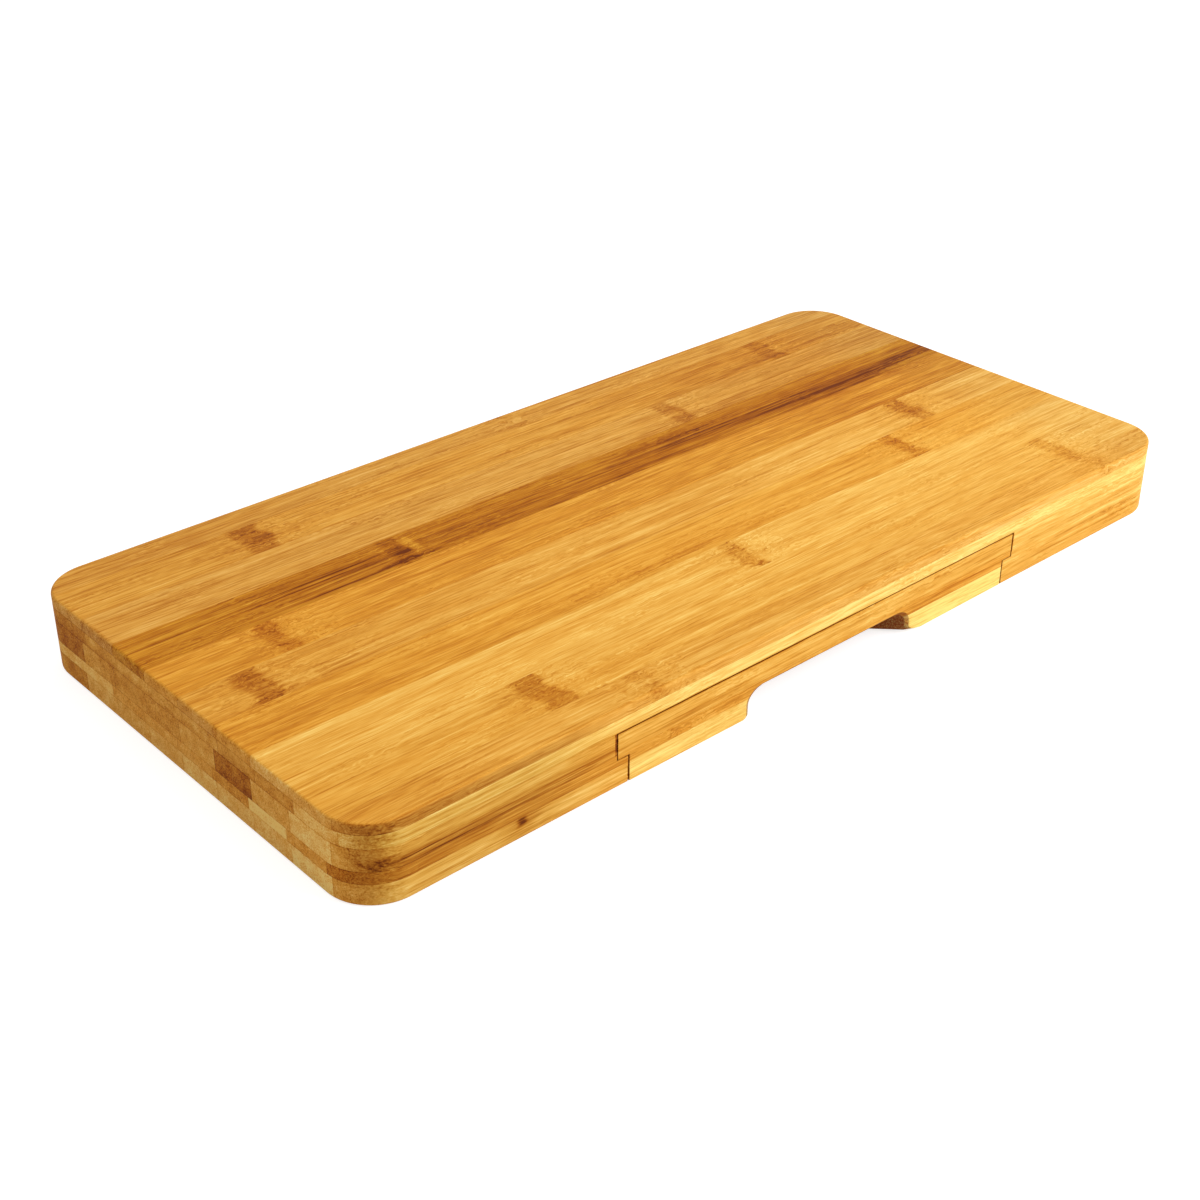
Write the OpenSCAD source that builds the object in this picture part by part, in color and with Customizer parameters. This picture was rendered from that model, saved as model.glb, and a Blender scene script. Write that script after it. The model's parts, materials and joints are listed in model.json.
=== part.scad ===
// Laminated bamboo cutting board with one drawer of milled trays.
// Millimetres. X runs along the board, -Y is the drawer's front, +Z is up.
// The origin is the middle of the underside.

/* [Board] */
// Length of the board, along the grain
board_l = 400; // [330:1:600]
// Width of the board, from the drawer's front to the back
board_w = 195; // [160:1:300]
// Radius of the four upright corners
corner_r = 18; // [8:1:30]
// Radius of the eased edge round the top and the underside
edge_r = 1.2; // [0.5:0.1:2]

/* [Plies] */
// Thickness of the ply that is cut on
surface_t = 4; // [3:0.1:8]
// Thickness of the core ply below it, which roofs the drawer's bay
core_t = 5; // [3:0.1:8]
// Thickness of the frame's top ply, and of the drawer's
upper_t = 8.3; // [6:0.1:12]
// Thickness of the frame's middle ply, and of the drawer's
middle_t = 4.5; // [4:0.1:8]
// Thickness of the frame's bottom ply, and of the drawer's floor
lower_t = 8.2; // [5:0.1:9]

/* [Strips] */
// Width of a whole bamboo strip
strip_w = 21; // [16:0.1:30]
// Width left of the front strip in the surface ply
surface_front_strip = 13; // [5:0.1:16]
// Width left of the front strip in the core ply
core_front_strip = 11.2; // [5:0.1:16]
// Width left of the front strip in the frame's top ply
upper_front_strip = 14.2; // [5:0.1:16]
// Width left of the front strip in the frame's middle ply
middle_front_strip = 16.6; // [5:0.1:20]
// Width left of the front strip in the frame's bottom ply
lower_front_strip = 14.5; // [5:0.1:16]
// Narrowest strip that is glued in by itself
least_strip = 3; // [2:0.5:5]

/* [Drawer bay] */
// Width of the bay above its ledges
bay_w = 202; // [160:1:260]
// Wood left behind the bay
bay_back_wall = 26; // [15:0.5:45]
// Width of the ledge that carries each flange of the drawer
ledge_w = 5; // [3:0.1:10]
// Height of the ledges above the underside
ledge_h = 10.5; // [9:0.1:12]

/* [Drawer] */
// Gap between the drawer and the bay at each side
side_gap = 0.5; // [0.3:0.1:1]
// Gap between the drawer and the roof of the bay
roof_gap = 0.5; // [0.3:0.1:1]
// Gap between a flange and its ledge
ledge_gap = 0.2; // [0.1:0.05:0.5]
// Height of the drawer's floor over what the board stands on
floor_gap = 0.3; // [0.2:0.1:1]
// Gap behind the drawer when it is shut
rear_gap = 1; // [0.5:0.5:5]
// Radius of the drawer's lower front edge
foot_r = 0.5; // [0.3:0.1:1.5]
// Width of the front strip of the drawer's two upper plies
drawer_front_strip = 10.5; // [8:0.1:16]

/* [Trays] */
// Width of the rib between two trays
rib_w = 8; // [5:0.5:12]
// Wood left at each end of a tray, under the flange
tray_end_wall = 10.5; // [8:0.5:25]
// Least wood behind the last tray
tray_back_wall = 8; // [6:0.5:20]
// Radius of the trays' upright corners, which is the cutter's
tray_r = 6; // [3:0.5:9]

/* [Finger notch] */
// Width of the notch at the drawer's face
notch_w = 82.6; // [60:0.1:110]
// Height of the notch
notch_h = 10.5; // [9.5:0.1:12]
// Depth of the notch from the drawer's face
notch_d = 18; // [12:0.5:20]
// Angle by which the notch's side walls close in behind the face
notch_flare = 38.5; // [0:0.5:45]
// Radius along the notch's upper edges
notch_r = 5.5; // [2:0.5:8]

/* [Hidden] */
$fn = 96;
over = 1; // how far a cutter stands past the face it cuts

// The plies' heights, from the underside up
middle_z = lower_t;
upper_z = middle_z + middle_t;
core_z = upper_z + upper_t;
surface_z = core_z + core_t;
board_t = surface_z + surface_t;

front_y = -board_w / 2;
bay_d = board_w - bay_back_wall;

// The drawer's outer sizes follow the bay's and the gaps
drawer_w = bay_w - 2 * side_gap;
drawer_d = bay_d - rear_gap;
drawer_top = core_z - roof_gap;
flange_z = ledge_h + ledge_gap;

// Three strips hold two trays, so no strip is milled right through
tray_pitch = 1.5 * strip_w;
tray_w = tray_pitch - rib_w;
tray_l = drawer_w - 2 * tray_end_wall;
first_tray = drawer_front_strip + strip_w + rib_w / 2;
tray_n = floor((drawer_d - tray_back_wall - first_tray + rib_w) / tray_pitch);

// The notch stays inside the floor's front strip, with wood left behind it
floor_front_strip = max(strip_w, notch_d + least_strip);

// How many strips make up a width that starts with a cut strip
function strip_count(width, front_strip) =
    floor((width - front_strip - least_strip) / strip_w) + 2;
// Distance from the front at which strip i starts
function strip_start(front_strip, i) = i == 0 ? 0 : front_strip + (i - 1) * strip_w;
// Distance from the front at which strip i of n ends
function strip_end(width, front_strip, i, n) =
    i == n - 1 ? width : front_strip + i * strip_w;
// The last joint between strips that lies in front of the bay's back
function rail_start(front_strip) =
    front_strip + floor((bay_d - front_strip - least_strip) / strip_w) * strip_w;

function two_digits(i) = i < 9 ? str("0", i + 1) : str(i + 1);
function names(stem, n) = [for (i = [0 : n - 1]) str(stem, two_digits(i))];

surface_n = strip_count(board_w, surface_front_strip);
core_n = strip_count(board_w, core_front_strip);
floor_n = strip_count(drawer_d, floor_front_strip);
drawer_n = strip_count(drawer_d, drawer_front_strip);

// Each frame ply: its name, underside, top side and front strip
frame_plies = [
    ["lower", 0, middle_z, lower_front_strip],
    ["middle", middle_z, upper_z, middle_front_strip],
    ["upper", upper_z, core_z, upper_front_strip],
];

// ---- Colours, as the bamboo's strips differ ----

golden = "#d9a150";
amber = "#c98a3c";
pale = "#e3b56a";
umber = "#9c6a33";
bright = "#e6c05f";
tones = [golden, pale, amber, golden, pale];
function tone(i) = tones[i % len(tones)];
// The one dark stave is the seventh from the front
dark_stave = 7;
function stave_tone(i) = i + 1 == dark_stave ? umber : tone(i);

// ---- Shared shapes ----

// A rectangle of w by h that stands on y = 0, with corners of radius r
module eased_section(w, h, r) {
    translate([-w / 2 + r, 0]) square([w - 2 * r, h]);
    translate([-w / 2, r]) square([w, h - 2 * r]);
    for (x = [-w / 2 + r, w / 2 - r], y = [r, h - r])
        translate([x, y]) circle(r);
}

// A rectangle with its middle at the origin and corners of radius r
module rounded_plan(l, w, r) {
    translate([0, -w / 2]) eased_section(l, w, r);
}

// Stands a profile up in the X-Z plane and draws it back along +Y
module along_y(depth) {
    translate([0, depth, 0]) rotate([90, 0, 0]) linear_extrude(depth) children();
}

// Turns a profile so that its x is the board's Y, and draws it along X
module along_x(length) {
    translate([-length / 2, 0, 0]) rotate([90, 0, 90]) linear_extrude(length) children();
}

// A quarter of a corner post, with eased rims
module corner_quarter() {
    rotate_extrude(angle = 90)
        intersection() {
            eased_section(2 * corner_r, board_t, edge_r);
            square([corner_r, board_t]);
        }
}

// The whole board's outside: rounded corners, with an eased edge all round
module board_blank() {
    straight_l = board_l - 2 * corner_r;
    straight_w = board_w - 2 * corner_r;
    along_x(straight_l) eased_section(board_w, board_t, edge_r);
    translate([0, -straight_w / 2, 0])
        along_y(straight_w) eased_section(board_l, board_t, edge_r);
    for (sx = [0, 1], sy = [0, 1])
        mirror([sx, 0, 0]) mirror([0, sy, 0])
            translate([straight_l / 2, straight_w / 2, 0]) corner_quarter();
}

// What lies between two heights and two distances from the front
module layer(z0, z1, d0, d1) {
    intersection() {
        board_blank();
        translate([-board_l, front_y + d0, z0]) cube([2 * board_l, d1 - d0, z1 - z0]);
    }
}

// The bay: wide above the ledges, narrower between them
module bay_cut() {
    lower_w = bay_w - 2 * ledge_w;
    translate([-bay_w / 2, front_y - over, ledge_h])
        cube([bay_w, bay_d + over, core_z - ledge_h + over]);
    translate([-lower_w / 2, front_y - over, -over])
        cube([lower_w, bay_d + over, ledge_h + 2 * over]);
}

// ---- Board ----

module cutting_stave(i) {
    color(stave_tone(i))
        layer(surface_z, board_t, strip_start(surface_front_strip, i),
              strip_end(board_w, surface_front_strip, i, surface_n));
}

module core_strip(i) {
    color(i == 0 ? bright : tone(i + 1))
        layer(core_z, surface_z, strip_start(core_front_strip, i),
              strip_end(board_w, core_front_strip, i, core_n));
}

// One ply of the wood beside the bay: side is -1 at the left, 1 at the right
module side_block(ply, side) {
    color(side < 0 ? amber : golden)
        difference() {
            intersection() {
                layer(ply[1], ply[2], 0, rail_start(ply[3]));
                translate([side < 0 ? -board_l : 0, -board_w, -over])
                    cube([board_l, 2 * board_w, board_t]);
            }
            bay_cut();
        }
}

// One ply of the wood behind the bay, as long as the board
module back_rail(ply) {
    color(umber)
        difference() {
            layer(ply[1], ply[2], rail_start(ply[3]), board_w);
            bay_cut();
        }
}

// ---- Drawer ----

// The drawer's outside: a T across, with the lower front edge eased
module drawer_blank() {
    lower_w = drawer_w - 2 * ledge_w;
    intersection() {
        translate([0, front_y, 0]) along_y(drawer_d)
            union() {
                translate([-drawer_w / 2, flange_z])
                    square([drawer_w, drawer_top - flange_z]);
                translate([-lower_w / 2, floor_gap])
                    square([lower_w, drawer_top - floor_gap]);
            }
        along_x(2 * drawer_w)
            union() {
                translate([front_y + foot_r, 0]) square([drawer_d, board_t]);
                translate([front_y, floor_gap + foot_r]) square([drawer_d, board_t]);
                translate([front_y + foot_r, floor_gap + foot_r]) circle(foot_r);
            }
    }
}

// Half of the notch, as everything in front of one slanted wall
module notch_side() {
    reach = 2 * notch_w;
    translate([notch_w / 2, front_y, 0]) rotate([0, 0, notch_flare])
        translate([0, -notch_w, 0]) along_y(reach)
            union() {
                translate([-reach, -over]) square([reach - notch_r, notch_h + over]);
                translate([-reach, -over]) square([reach, notch_h + over - notch_r]);
                translate([-notch_r, notch_h - notch_r]) circle(notch_r);
            }
}

// The finger notch: two slanted walls, a back wall and a roof
module notch_cut() {
    intersection() {
        notch_side();
        mirror([1, 0, 0]) notch_side();
        along_x(2 * notch_w)
            union() {
                translate([front_y - over, -over])
                    square([notch_d + over - notch_r, notch_h + over]);
                translate([front_y - over, -over])
                    square([notch_d + over, notch_h + over - notch_r]);
                translate([front_y + notch_d - notch_r, notch_h - notch_r])
                    circle(notch_r);
            }
    }
}

// Every tray, milled down to the drawer's floor ply
module tray_cuts() {
    for (i = [0 : tray_n - 1])
        translate([0, front_y + first_tray + i * tray_pitch + tray_w / 2, middle_z])
            linear_extrude(board_t) rounded_plan(tray_l, tray_w, tray_r);
}

// A strip of the drawer between two heights and two distances from its front
module drawer_strip(z0, z1, d0, d1) {
    difference() {
        intersection() {
            drawer_blank();
            translate([-board_l, front_y + d0, z0])
                cube([2 * board_l, d1 - d0, z1 - z0]);
        }
        notch_cut();
        tray_cuts();
    }
}

module drawer_floor_strip(i) {
    color(i == 0 ? bright : tone(i))
        drawer_strip(0, middle_z, strip_start(floor_front_strip, i),
                     strip_end(drawer_d, floor_front_strip, i, floor_n));
}

module drawer_middle_strip(i) {
    color(i == 0 ? amber : tone(i + 2))
        drawer_strip(middle_z, upper_z, strip_start(drawer_front_strip, i),
                     strip_end(drawer_d, drawer_front_strip, i, drawer_n));
}

module drawer_upper_strip(i) {
    color(i == 0 ? golden : tone(i + 1))
        drawer_strip(upper_z, board_t, strip_start(drawer_front_strip, i),
                     strip_end(drawer_d, drawer_front_strip, i, drawer_n));
}

// ---- The model ----

for (i = [0 : surface_n - 1])
    cutting_stave(i);
for (i = [0 : core_n - 1])
    core_strip(i);
for (ply = frame_plies) {
    side_block(ply, -1);
    side_block(ply, 1);
    back_rail(ply);
}
for (i = [0 : floor_n - 1])
    drawer_floor_strip(i);
for (i = [0 : drawer_n - 1])
    drawer_middle_strip(i);
for (i = [0 : drawer_n - 1])
    drawer_upper_strip(i);
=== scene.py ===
# %% [markdown]
# # A laminated bamboo board with a tray drawer
#
# The real board is glued up from bamboo strips: five plies, one on another, each made of strips
# about 21 mm wide. A wide drawer slides out of its long front on two flanges. The CAD model holds
# the sizes, the joints and the motion. This lesson gives every strip its shape and its finish.

# %% Load the frame
import json
import math

import bmesh
import bpy
from mathutils import Euler, Matrix, Vector

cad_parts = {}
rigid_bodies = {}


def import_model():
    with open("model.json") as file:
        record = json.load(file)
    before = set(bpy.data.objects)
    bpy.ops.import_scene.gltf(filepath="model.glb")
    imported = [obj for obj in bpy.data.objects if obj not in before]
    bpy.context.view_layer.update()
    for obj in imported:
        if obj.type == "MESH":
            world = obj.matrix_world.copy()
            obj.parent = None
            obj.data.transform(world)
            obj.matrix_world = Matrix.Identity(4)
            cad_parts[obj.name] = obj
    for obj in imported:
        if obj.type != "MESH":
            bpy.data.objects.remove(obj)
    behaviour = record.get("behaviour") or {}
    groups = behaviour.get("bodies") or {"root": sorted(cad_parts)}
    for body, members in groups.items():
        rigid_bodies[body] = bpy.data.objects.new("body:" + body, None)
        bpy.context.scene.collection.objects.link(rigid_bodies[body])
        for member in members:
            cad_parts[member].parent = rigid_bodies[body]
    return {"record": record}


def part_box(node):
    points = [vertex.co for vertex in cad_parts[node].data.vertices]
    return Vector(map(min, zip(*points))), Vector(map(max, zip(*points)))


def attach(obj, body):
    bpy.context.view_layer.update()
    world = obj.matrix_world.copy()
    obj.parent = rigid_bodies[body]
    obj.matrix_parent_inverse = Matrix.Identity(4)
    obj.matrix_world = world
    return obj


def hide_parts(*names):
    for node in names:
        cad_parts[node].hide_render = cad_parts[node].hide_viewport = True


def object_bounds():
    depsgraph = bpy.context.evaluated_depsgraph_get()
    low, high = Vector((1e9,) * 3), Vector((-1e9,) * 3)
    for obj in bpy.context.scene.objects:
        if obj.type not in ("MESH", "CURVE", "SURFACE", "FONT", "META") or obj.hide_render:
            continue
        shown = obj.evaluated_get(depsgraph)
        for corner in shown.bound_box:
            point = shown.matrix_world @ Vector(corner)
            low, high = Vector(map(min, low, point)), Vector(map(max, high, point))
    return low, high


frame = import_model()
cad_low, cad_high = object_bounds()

MM = 0.001
record = frame["record"]
print("the board is", [round(side / MM, 1) for side in cad_high - cad_low], "mm")

# %% [markdown]
# ## The camera
#
# The photograph is square. Its camera stands low at the board's front left corner and looks along
# a diagonal. The place and the lens come from the board's outline, with the two lengths known. The
# small shift is there because the picture's middle isn't quite the middle of the lens.

# %% Camera
CAMERA_PLACE = Vector((-0.4238, -0.4518, 0.3510))
CAMERA_YAW = math.radians(41.951)
CAMERA_PITCH = math.radians(29.586)
CAMERA_ROLL = math.radians(0.239)
LENS = 55.395
SHIFT_X = -0.00625
SHIFT_Y = -0.02183


def add_camera():
    data = bpy.data.cameras.new("camera")
    data.lens = LENS
    data.sensor_width = 36.0
    data.shift_x = SHIFT_X
    data.shift_y = SHIFT_Y
    data.clip_start = 0.01
    camera = bpy.data.objects.new("camera", data)
    bpy.context.collection.objects.link(camera)
    aim = Euler((math.pi / 2 - CAMERA_PITCH, 0, -CAMERA_YAW)).to_matrix()
    tilt = aim @ Matrix.Rotation(CAMERA_ROLL, 3, "Z")
    camera.matrix_world = Matrix.Translation(CAMERA_PLACE) @ tilt.to_4x4()
    bpy.context.scene.camera = camera
    return camera


camera = add_camera()
print("camera at", [round(c, 3) for c in camera.matrix_world.translation])

# %% [markdown]
# ## Working in edit mode
#
# Blender's edit mode tools act on all that is selected. So each tool below first makes one object
# the only selected one, and then picks its faces or edges by where they are. That is what a
# modeller does with the mouse, written down.

# %% Selecting
NEAR = 1e-6


def only(*objects):
    """Makes these the only selected objects, the first one active."""
    bpy.ops.object.select_all(action="DESELECT")
    for obj in objects:
        obj.select_set(True)
    bpy.context.view_layer.objects.active = objects[0]


def edit(obj):
    only(obj)
    bpy.ops.object.mode_set(mode="EDIT")


def done():
    bpy.ops.object.mode_set(mode="OBJECT")


def pick(obj, kind, test):
    """In edit mode, selects the "EDGE" or "FACE" elements that pass a test, and counts them."""
    bpy.ops.mesh.select_mode(type=kind)
    bpy.ops.mesh.select_all(action="DESELECT")
    mesh = bmesh.from_edit_mesh(obj.data)
    elements = mesh.edges if kind == "EDGE" else mesh.faces
    chosen = [element for element in elements if test(element)]
    for element in chosen:
        element.select = True
    mesh.select_flush_mode()
    bmesh.update_edit_mesh(obj.data)
    return len(chosen)


def at(edge, axis, value):
    """Whether both ends of an edge lie at one value of x, y or z (axis 0, 1 or 2)."""
    return all(abs(vert.co[axis] - value) < NEAR for vert in edge.verts)


print("the selecting tools are ready")

# %% [markdown]
# ## From blanks to strips
#
# A workshop glues the strips up first and mills the block afterwards, so grooves and rounded edges
# run across the glue joints without a step. The same is done here: a whole blank gets its rounded
# corners, eased edges and cuts, and is then sawn into its strips with bisect, which cuts with a
# plane and closes the cut. The planes come from the CAD pieces, so every strip fits its own place.

# %% Blocks, cuts and saws
def block(name, low, high):
    """A box with its corners at low and high."""
    low, high = Vector(low), Vector(high)
    bpy.ops.mesh.primitive_cube_add(size=1, location=(low + high) / 2, scale=high - low)
    obj = bpy.context.active_object
    obj.name = obj.data.name = name
    only(obj)
    bpy.ops.object.transform_apply(location=True, rotation=True, scale=True)
    return obj


def tee_block(name, low, high, neck, foot):
    """A box whose middle, as wide as the neck both ways from x = 0, is drawn down to the foot."""
    obj = block(name, low, high)
    edit(obj)
    for side in (-neck, neck):
        bpy.ops.mesh.select_all(action="SELECT")
        bpy.ops.mesh.bisect(plane_co=(side, 0, 0), plane_no=(1, 0, 0), threshold=NEAR / 10)
    pick(obj, "FACE", lambda f: f.normal.z < -0.9 and abs(f.calc_center_median().x) < neck / 2)
    down = {"value": (0, 0, foot - low[2])}
    bpy.ops.mesh.extrude_region_move(TRANSFORM_OT_translate=down)
    done()
    return obj


def round_edges(obj, test, radius, segments):
    """Rounds the edges that pass a test, as a router bit does."""
    edit(obj)
    count = pick(obj, "EDGE", test)
    bpy.ops.mesh.bevel(offset=radius, segments=segments, affect="EDGES", clamp_overlap=False)
    done()
    return count


def mill(obj, *cutters):
    """Takes the cutters' shapes out of a block."""
    for cutter in cutters:
        only(obj)
        cut = obj.modifiers.new("cut", "BOOLEAN")
        cut.object = cutter
        cut.solver = "EXACT"
        bpy.ops.object.modifier_apply(modifier=cut.name)
        bpy.data.objects.remove(cutter)


def copy_of(obj, name):
    made = bpy.data.objects.new(name, obj.data.copy())
    made.data.name = name
    bpy.context.collection.objects.link(made)
    return made


def saw(obj, place, away):
    """Saws an object at a place, and throws away what lies past it in the direction away."""
    edit(obj)
    bpy.ops.mesh.select_all(action="SELECT")
    bpy.ops.mesh.bisect(
        plane_co=place, plane_no=away, use_fill=True, clear_outer=True, threshold=NEAR / 10
    )
    done()


def span(obj):
    """The lowest and highest corner of an object's mesh."""
    corners = [vert.co for vert in obj.data.vertices]
    low = Vector(min(corner[i] for corner in corners) for i in range(3))
    high = Vector(max(corner[i] for corner in corners) for i in range(3))
    return low, high


def sawn_strip(blank, node, halved=False):
    """The piece of a blank that lies in a CAD node's place, sawn along y and z."""
    piece = copy_of(blank, "bamboo_" + node)
    low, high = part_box(node)
    blank_low, blank_high = span(blank)
    for axis, away in ((1, Vector((0, 1, 0))), (2, Vector((0, 0, 1)))):
        if low[axis] > blank_low[axis] + 10 * NEAR:
            saw(piece, low, -away)
        if high[axis] < blank_high[axis] - 10 * NEAR:
            saw(piece, high, away)
    if halved:
        saw(piece, (0, 0, 0), (-math.copysign(1, low.x), 0, 0))
    return piece


print("the sawing tools are ready")

# %% [markdown]
# ## The board's blank
#
# The board is a flat box. Its four upright corners are rounded to 18 mm, and then a small radius
# goes right round the top and the underside, so that it is pleasant to hold.

# %% Board blank
CORNER_RADIUS = 18 * MM
RIM_RADIUS = 1.2 * MM


def upright(edge):
    return abs(edge.verts[0].co.z - edge.verts[1].co.z) > NEAR


blank = block("board_blank", cad_low, cad_high)
round_edges(blank, upright, CORNER_RADIUS, segments=24)
rims = (cad_low.z, cad_high.z)
round_edges(blank, lambda e: any(at(e, 2, z) for z in rims), RIM_RADIUS, segments=6)
print("board blank:", len(blank.data.polygons), "faces")

# %% [markdown]
# ## The bay
#
# The drawer's bay is open to the front and to the underside. Two ledges narrow it near the bottom,
# and the drawer's flanges run on them. The cutter is a T-shaped block that stands out past the
# faces that it opens. The bay's mouth gets a very small radius, because a sawn edge is sanded.

# %% Bay
OVER = 5 * MM
SAND_RADIUS = 0.3 * MM
LEDGE_HEIGHT = 10.5 * MM
REAR_GAP = 1 * MM
front_y = cad_low.y
bay_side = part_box("upper_right_block")[0].x
ledge_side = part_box("lower_right_block")[0].x
bay_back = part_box("drawer_upper_strip_09")[1].y + REAR_GAP
bay_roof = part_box("core_strip_01")[0].z


def sharp(edge):
    """Whether an edge stands out, and turns by more than 50 degrees."""
    return edge.is_manifold and edge.calc_face_angle_signed() > math.radians(50)


def inside(edge, low, high):
    """Whether both ends of an edge lie in a box."""
    return all(low[i] - NEAR < v.co[i] < high[i] + NEAR for v in edge.verts for i in range(3))


body = copy_of(blank, "board_body")
bay_low = (-bay_side, front_y, cad_low.z)
bay_high = (bay_side, bay_back, bay_roof)
cutter = tee_block(
    "bay_cutter",
    (-bay_side, front_y - OVER, LEDGE_HEIGHT),
    (bay_side, bay_back, bay_roof + MM),
    ledge_side,
    cad_low.z - OVER,
)
mill(body, cutter)
eased = round_edges(body, lambda e: sharp(e) and inside(e, bay_low, bay_high), SAND_RADIUS, segments=2)
print("board body:", len(body.data.polygons), "faces,", eased, "edges of the bay sanded")

# %% [markdown]
# ## The drawer
#
# The drawer is one T-shaped block: wide on top, where the flanges are, and narrow between the
# ledges. A finger notch is cut into its lower front edge, with slanted ends and a rounded roof, as
# a cove bit leaves it. A small chamfer breaks the edge of its mouth, and its lower edges are
# rounded, the right one well, because that is where fingers pull.

# %% Drawer block and notch
FLANGE_GAP = 0.2 * MM
NOTCH_HALF = 41.3 * MM
NOTCH_TOP = 10.5 * MM
NOTCH_DEPTH = 18 * MM
NOTCH_FLARE = math.radians(38.5)
NOTCH_RADIUS = 5.5 * MM
CHAMFER = 1 * MM
CHAMFER_DEPTH = 0.8 * MM
LIP_RADIUS = 0.8 * MM
WORN_LIP_RADIUS = 3.6 * MM
FOOT_RADIUS = 0.5 * MM
drawer_low, drawer_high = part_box("drawer_upper_strip_01")
drawer_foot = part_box("drawer_floor_strip_01")[0].z
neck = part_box("drawer_floor_strip_01")[1].x
drawer_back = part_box("drawer_upper_strip_09")[1].y


def notch_cutter():
    """A block that narrows towards its back, first by the mouth's chamfer and then by the flare."""
    start, floor = front_y - OVER, drawer_foot - OVER
    inner = NOTCH_HALF - CHAMFER_DEPTH * math.tan(NOTCH_FLARE)
    narrow = NOTCH_HALF - NOTCH_DEPTH * math.tan(NOTCH_FLARE)
    reach = (OVER + CHAMFER_DEPTH) / CHAMFER_DEPTH
    wide = inner + reach * (NOTCH_HALF + CHAMFER - inner)
    tall = NOTCH_TOP + reach * CHAMFER
    obj = block("notch_cutter", (-wide, start, floor), (wide, front_y + CHAMFER_DEPTH, tall))
    edit(obj)
    pick(obj, "FACE", lambda f: f.normal.y > 0.9)
    shrink = (inner / wide, 1, (NOTCH_TOP - floor) / (tall - floor))
    bpy.ops.transform.resize(value=shrink, center_override=(0, 0, floor))
    back = {"value": (0, NOTCH_DEPTH - CHAMFER_DEPTH, 0)}
    bpy.ops.mesh.extrude_region_move(TRANSFORM_OT_translate=back)
    bpy.ops.transform.resize(value=(narrow / inner, 1, 1), center_override=(0, 0, 0))
    done()
    across = (start, front_y + CHAMFER_DEPTH)

    def roof(edge):
        above = all(vert.co.z > NOTCH_TOP - NEAR for vert in edge.verts)
        return above and not any(at(edge, 1, y) for y in across)

    round_edges(obj, roof, NOTCH_RADIUS, segments=10)
    return obj


def in_notch(edge):
    side = NOTCH_HALF + CHAMFER
    low = (-side, front_y, drawer_foot)
    return inside(edge, low, (side, front_y + NOTCH_DEPTH, NOTCH_TOP + CHAMFER))


def on_right(edge):
    return all(v.co.x > 0 for v in edge.verts)


def below(edge):
    return at(edge, 2, drawer_foot) and sharp(edge)


drawer = tee_block(
    "drawer_body",
    (drawer_low.x, front_y, LEDGE_HEIGHT + FLANGE_GAP),
    (drawer_high.x, drawer_back, drawer_high.z),
    neck,
    drawer_foot,
)
mill(drawer, notch_cutter())
lip = round_edges(drawer, lambda e: below(e) and in_notch(e) and not on_right(e), LIP_RADIUS, segments=4)
worn = round_edges(drawer, lambda e: below(e) and in_notch(e) and on_right(e), WORN_LIP_RADIUS, segments=8)
foot = round_edges(drawer, lambda e: below(e) and at(e, 1, front_y), FOOT_RADIUS, segments=4)
sanded = round_edges(drawer, sharp, SAND_RADIUS, segments=2)
print("drawer edges rounded:", lip, "lip,", worn, "worn,", foot, "foot,", sanded, "sanded")

# %% [markdown]
# ## The trays
#
# Four long trays are milled into the drawer, down to its floor ply. Their upright corners have the
# cutter's radius. The rims are rounded a little. The floor's strips are sawn from a copy that was
# never milled, because no cut of the trays goes below the glue joint.

# %% Trays
TRAY_LENGTH = 180 * MM
TRAY_WIDTH = 23.5 * MM
TRAY_PITCH = 31.5 * MM
TRAY_COUNT = 4
FIRST_TRAY = 35.5 * MM
TRAY_RADIUS = 6 * MM
TRAY_RIM = 0.8 * MM
tray_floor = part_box("drawer_floor_strip_01")[1].z


def tray_cutter(number):
    start = front_y + FIRST_TRAY + number * TRAY_PITCH
    low = (-TRAY_LENGTH / 2, start, tray_floor - MM)
    high = (TRAY_LENGTH / 2, start + TRAY_WIDTH, drawer_high.z + OVER)
    obj = block("tray_cutter", low, high)
    round_edges(obj, upright, TRAY_RADIUS, segments=10)
    return obj


floor_body = copy_of(drawer, "drawer_floor_body")
mill(drawer, *[tray_cutter(number) for number in range(TRAY_COUNT)])
eased = round_edges(drawer, lambda e: sharp(e) and at(e, 2, drawer_high.z), TRAY_RIM, segments=5)
print("tray rims rounded:", eased, "edges")

# %% [markdown]
# ## Sawing the strips
#
# Every CAD node gets its own piece. The two top plies come from the whole blank, the frame's plies
# from the body with the bay, and the drawer's plies from the drawer. The blocks left and right of
# the bay are also parted from each other at the middle. Last comes the shading: the weighted
# normals keep the big flat faces flat next to their small rounded edges.

# %% Strips
SMOOTH_ANGLE = math.radians(24)
bodies = record["behaviour"]["bodies"]


def blank_for(node):
    if node.startswith("drawer_floor"):
        return floor_body
    if node.startswith("drawer"):
        return drawer
    if node.startswith(("cutting", "core")):
        return blank
    return body


def finish_mesh(obj):
    """Merges doubles, turns the faces outwards and sets the shading."""
    edit(obj)
    bpy.ops.mesh.select_all(action="SELECT")
    bpy.ops.mesh.remove_doubles(threshold=NEAR)
    bpy.ops.mesh.normals_make_consistent(inside=False)
    done()
    bpy.ops.object.shade_smooth_by_angle(angle=SMOOTH_ANGLE)
    weigh = obj.modifiers.new("weigh", "WEIGHTED_NORMAL")
    weigh.keep_sharp = True
    bpy.ops.object.modifier_apply(modifier=weigh.name)


strips = {}
for body_name, members in bodies.items():
    for node in members:
        piece = sawn_strip(blank_for(node), node, halved=node.endswith("_block"))
        finish_mesh(piece)
        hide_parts(node)
        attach(piece, body_name)
        strips[node] = piece
for used in (blank, body, drawer, floor_body):
    bpy.data.objects.remove(used)
print(len(strips), "strips sawn")

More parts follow.
